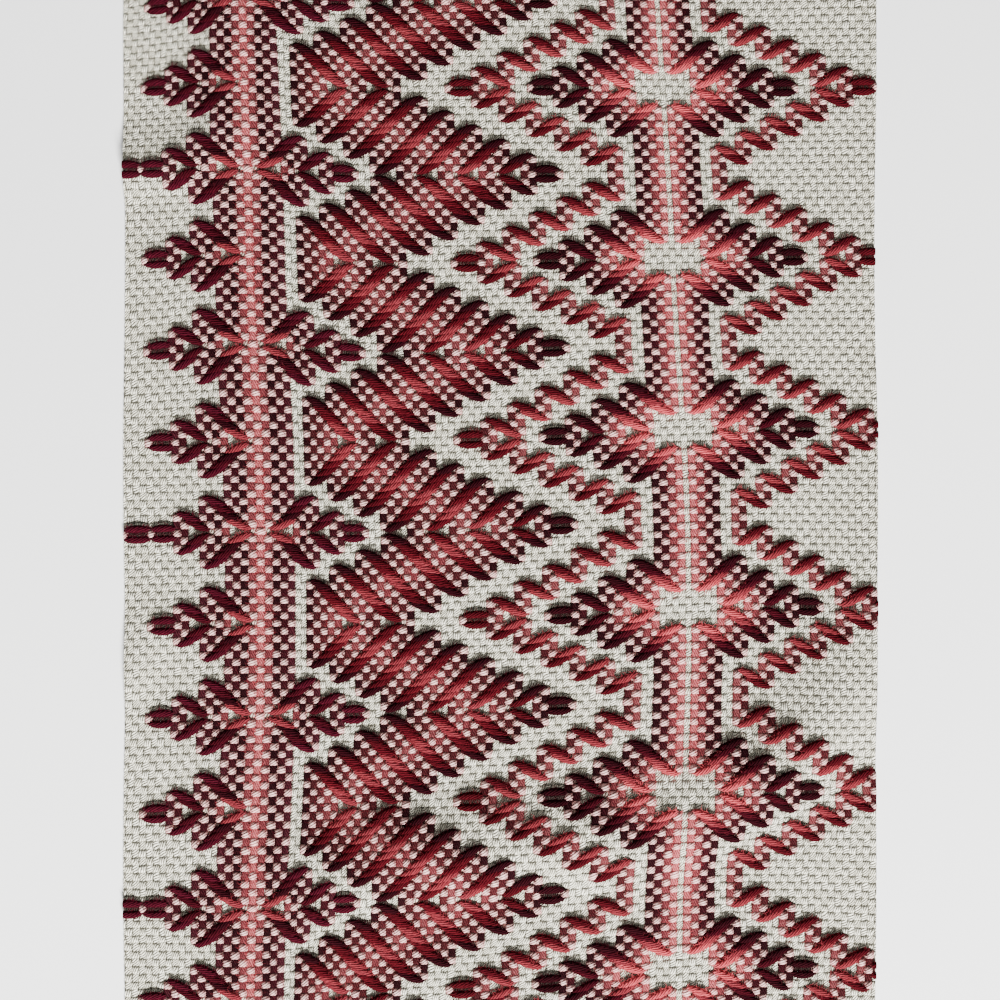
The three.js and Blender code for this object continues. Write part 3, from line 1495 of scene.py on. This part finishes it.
def srgb(red: int, green: int, blue: int) -> tuple[float, float, float, float]:
    """A colour in the shader's own terms.

    Args:
        red: Red as it looks on a screen, from 0 to 255.
        green: Green in the same way.
        blue: Blue in the same way.

    Returns:
        Linear red, green and blue, and an alpha of 1.
    """
    def linear(value: int) -> float:
        """One part of the colour, from 0 to 1."""
        share = value / 255
        return share / 12.92 if share <= 0.04045 else ((share + 0.055) / 1.055) ** 2.4
    return (linear(red), linear(green), linear(blue), 1.0)


def start_material(name: str) -> tuple[Material, NodeKit, bpy.types.Node]:
    """Start a material.

    Args:
        name: The material's name.

    Returns:
        The material, a kit for its nodes, and its shader.
    """
    material = bpy.data.materials.new(name)
    material.use_nodes = True
    return material, NodeKit(material.node_tree), material.node_tree.nodes["Principled BSDF"]


def add_relief(kit: NodeKit, shader: bpy.types.Node, height: Socket, depth: float) -> None:
    """Give a shader a bumpy surface.

    Args:
        shader: The material's shader.
        height: Height of the surface, as a share of the depth.
        depth: Depth of the relief, in millimetres.
    """
    bump = kit.node("ShaderNodeBump")
    bump.inputs["Strength"].default_value = 1.0
    bump.inputs["Distance"].default_value = depth * MM
    kit.link(height, bump.inputs["Height"])
    kit.link(bump.outputs[0], shader.inputs["Normal"])


@dataclass(frozen=True)
class CottonFinish:
    """Undyed cotton: matt, cream, and pinkish where the wool's fibres lie over it."""

    name: str = "cream_cotton"
    thread: Colour = (253, 249, 229)
    shaded: Colour = (192, 186, 158)
    shadow: Colour = (120, 114, 92)
    gap_shade: Colour = (46, 43, 33)
    hole_shade: Colour = (30, 28, 22)
    blushed: Colour = (216, 120, 128)
    tint_share: float = 0.35
    gap_shade_share: float = 0.9
    seam_shade_share: float = 0.65
    hole_shade_share: float = 0.85
    blush_share: float = 0.8
    stain_share: float = 0.0
    wool_share: float = 0.0
    threads: float = 3.0
    mottle: float = 0.6
    roughness: float = 0.95
    shine: float = 0.05
    relief: float = 1.35
    fibre_relief: float = 0.25

    def material(self, effects: Effects) -> Material:
        """Make the material.

        Args:
            effects: The node groups.

        Returns:
            The material.
        """
        material, kit, shader = start_material(self.name)
        place = kit.attribute("weave")
        weave = kit.effect(effects.basket, Weave=place, Threads=self.threads)
        grain = kit.effect(effects.fibre)["Fine"]
        blush = kit.split(place)[2]
        wool = kit.attribute("beneath")
        # Painted shade for the gaps and the seams; on the raised floats half of it is the wool
        # showing beneath
        gap_shade = kit.mix(self.wool_share, srgb(*self.gap_shade), wool)
        layers = (
            (kit.times(weave["Tint"], self.tint_share), srgb(*self.shaded)),
            # The pink and stain of the wool's fibres; on the raised floats both also grow towards
            # the rims as painted shade
            (kit.times(kit.ramp(blush, 0.1, 0.9), self.blush_share), srgb(*self.blushed)),
            (kit.times(blush, self.stain_share), wool),
            # Painted shade between the threads of each float
            (kit.times(weave["Gap Shade"], self.gap_shade_share), gap_shade),
            # Painted shade in the seams between floats
            (kit.times(weave["Seam"], self.seam_shade_share), gap_shade),
            # Painted shade in the holes at the floats' corners
            (kit.times(weave["Hole Shade"], self.hole_shade_share), srgb(*self.hole_shade)),
            (kit.ramp(grain, 0.4, 0.7, 0.0, self.mottle), srgb(*self.shadow)),
        )
        base = srgb(*self.thread)
        for share, colour in layers:
            base = kit.mix(share, base, colour)
        kit.link(base, shader.inputs["Base Color"])
        shader.inputs["Roughness"].default_value = self.roughness
        shader.inputs["Specular IOR Level"].default_value = self.shine
        height = kit.math("ADD", weave["Height"], kit.times(grain, self.fibre_relief))
        add_relief(kit, shader, height, self.relief)
        return material


FLAT_COTTON = CottonFinish()
RAISED_COTTON = CottonFinish(
    name="raised_cotton", thread=(250, 231, 219), shaded=(204, 174, 162), gap_shade=(84, 52, 48),
    gap_shade_share=0.8, seam_shade_share=0.3, blush_share=0.62, stain_share=0.27, wool_share=0.5,
    threads=3.7, mottle=0.3, relief=0.85)


@dataclass(frozen=True)
class WoolFinish:
    """One shade of twisted wool."""

    shade: Shade
    colour: Colour
    light: Colour
    lint: float
    lint_colour: Colour = (232, 222, 214)
    light_share: float = 0.75
    deep_shade: float = 0.35
    groove_shade_share: float = 0.5
    fuzz_share: float = 0.4
    roughness: float = 0.88
    shine: float = 0.02
    relief: float = 0.7
    strand_relief: float = 0.5

    def material(self, effects: Effects) -> Material:
        """Make the material.

        Args:
            effects: The node groups.

        Returns:
            The material.
        """
        material, kit, shader = start_material(f"{self.shade.value}_wool")
        twist = kit.effect(effects.twist, Lie=kit.attribute("lie"))
        grain = kit.effect(effects.fibre)["Fine"]
        # Painted shade for the grooves between the plies: the wool's own colour darkened
        groove_shade_colour = tuple(int(part * self.deep_shade) for part in self.colour)
        lint = kit.times(kit.ramp(grain, 0.3, 0.7, 0.4, 1.6), self.lint)
        layers = (
            (kit.ramp(twist["Strand"], 0.35, 0.7, 0.0, self.light_share), srgb(*self.light)),
            (kit.times(twist["Groove Shade"], self.groove_shade_share), srgb(*groove_shade_colour)),
            (kit.ramp(grain, 0.42, 0.72, 0.0, self.fuzz_share), srgb(*self.light)),
            (kit.times(lint, kit.attribute("cover")), srgb(*self.lint_colour)),
        )
        base = srgb(*self.colour)
        for share, colour in layers:
            base = kit.mix(share, base, colour)
        kit.link(base, shader.inputs["Base Color"])
        shader.inputs["Roughness"].default_value = self.roughness
        shader.inputs["Specular IOR Level"].default_value = self.shine
        height = kit.math("ADD", twist["Height"], kit.times(twist["Strand"], self.strand_relief))
        add_relief(kit, shader, height, self.relief)
        return material


WOOL_FINISHES = {finish.shade: finish for finish in (
    WoolFinish(Shade.BLACK_CHERRY, (25, 3, 7), (44, 7, 14), 0.003),
    WoolFinish(Shade.BURGUNDY, (39, 4, 11), (62, 10, 20), 0.005),
    WoolFinish(Shade.PLUM, (44, 5, 14), (69, 14, 28), 0.008),
    WoolFinish(Shade.DARK_RED, (47, 5, 11), (74, 14, 21), 0.01),
    WoolFinish(Shade.CRIMSON, (54, 6, 13), (83, 17, 24), 0.012),
    WoolFinish(Shade.CORAL_RED, (92, 27, 33), (127, 49, 55), 0.02),
    WoolFinish(Shade.CORAL, (94, 27, 32), (126, 48, 54), 0.03),
    WoolFinish(Shade.SALMON, (149, 46, 53), (186, 80, 85), 0.06),
)}


class Lamp(NamedTuple):
    """A soft square lamp: its place and size in metres, and its power in watts."""

    name: str
    place: tuple[float, float, float]
    size: float
    power: float


@dataclass
class Studio:
    """The floor, the lamps and the camera, in metres."""

    camera_height: float = 0.70
    view_width: float = 0.49
    sensor_mm: float = 36.0
    lamps: tuple[Lamp, ...] = (
        Lamp("window", (0.55, -2.6, 1.53), 0.8, 580.0),
        Lamp("fill", (-0.9, 1.4, 2.2), 2.0, 6.0),
    )
    sky: float = 0.35
    floor_half: float = 3.0
    floor_depth: float = 0.2 * MM
    floor_colours: tuple[tuple[float, ...], ...] = ((0.93, 0.93, 0.92, 1), (0.9, 0.9, 0.9, 1))
    floor_roughness: float = 0.8

    def build(self) -> None:
        """Set up everything that isn't the cloth."""
        self._floor()
        for lamp in self.lamps:
            self._light(lamp)
        world = bpy.data.worlds.new("studio")
        world.use_nodes = True
        background = world.node_tree.nodes["Background"]
        background.inputs["Color"].default_value = (1, 1, 1, 1)
        background.inputs["Strength"].default_value = self.sky
        bpy.context.scene.world = world
        camera = bpy.data.cameras.new("camera")
        camera.sensor_width = self.sensor_mm
        camera.lens = self.sensor_mm * self.camera_height / self.view_width
        seat = bpy.data.objects.new("camera", camera)
        seat.location = (0, 0, self.camera_height)
        bpy.context.scene.collection.objects.link(seat)
        bpy.context.scene.camera = seat

    def _floor(self) -> None:
        """A plain pale floor with a faint unevenness."""
        half = self.floor_half
        mesh = bpy.data.meshes.new("floor")
        mesh.from_pydata([(-half, -half, 0), (half, -half, 0), (half, half, 0), (-half, half, 0)],
                         [], [(0, 1, 2, 3)])
        floor = bpy.data.objects.new("floor", mesh)
        floor.location.z = -self.floor_depth
        bpy.context.scene.collection.objects.link(floor)
        material, kit, shader = start_material("pale_floor")
        cloud = kit.noise(kit.node("ShaderNodeTexCoord").outputs["Object"], 3.0)
        colour = kit.mix(kit.ramp(cloud, 0.3, 0.7), *self.floor_colours)
        kit.link(colour, shader.inputs["Base Color"])
        shader.inputs["Roughness"].default_value = self.floor_roughness
        mesh.materials.append(material)

    @staticmethod
    def _light(lamp: Lamp) -> None:
        """Set up a lamp, facing the middle of the cloth.

        Args:
            lamp: The lamp.
        """
        light = bpy.data.lights.new(lamp.name, "AREA")
        light.size = lamp.size
        light.energy = lamp.power
        seat = bpy.data.objects.new(lamp.name, light)
        seat.location = lamp.place
        seat.rotation_euler = (-Vector(lamp.place)).to_track_quat("-Z", "Y").to_euler()
        bpy.context.scene.collection.objects.link(seat)


def main() -> None:
    """Build the cloth, the wool and the studio in order."""
    logging.basicConfig(level=logging.INFO)
    outline = Outline()
    lay = Lay(outline)
    effects = Effects()
    wools = [
        Wool("spine", SPINE_BANDS, lay, straight_shade=Shade.SALMON),
        Wool("flame", FLAME_BANDS, lay),
        Wool("lattice", LATTICE_BANDS, lay),
    ]
    worked = Worked(wools, SHEET_COLUMNS, SHEET_ROWS)
    lay.swell(worked)

    ground = GroundCloth(lay, worked)
    ground.build()
    ground.dress(effects)

    floats = RaisedFloats(lay, worked)
    floats.build()
    floats.dress(effects)
    sewn = [*floats.pieces]

    wool_materials = {shade: finish.material(effects) for shade, finish in WOOL_FINISHES.items()}
    for wool in wools:
        wool.build()
        wool.dress(wool_materials)
        sewn += wool.pieces.values()

    for shade in WOOL_FINISHES:
        fibres = LooseFibres(lay, wools, shade)
        fibres.build()
        fibres.dress(wool_materials)
        sewn += fibres.pieces

    Studio().build()


if __name__ == "__main__":
    main()
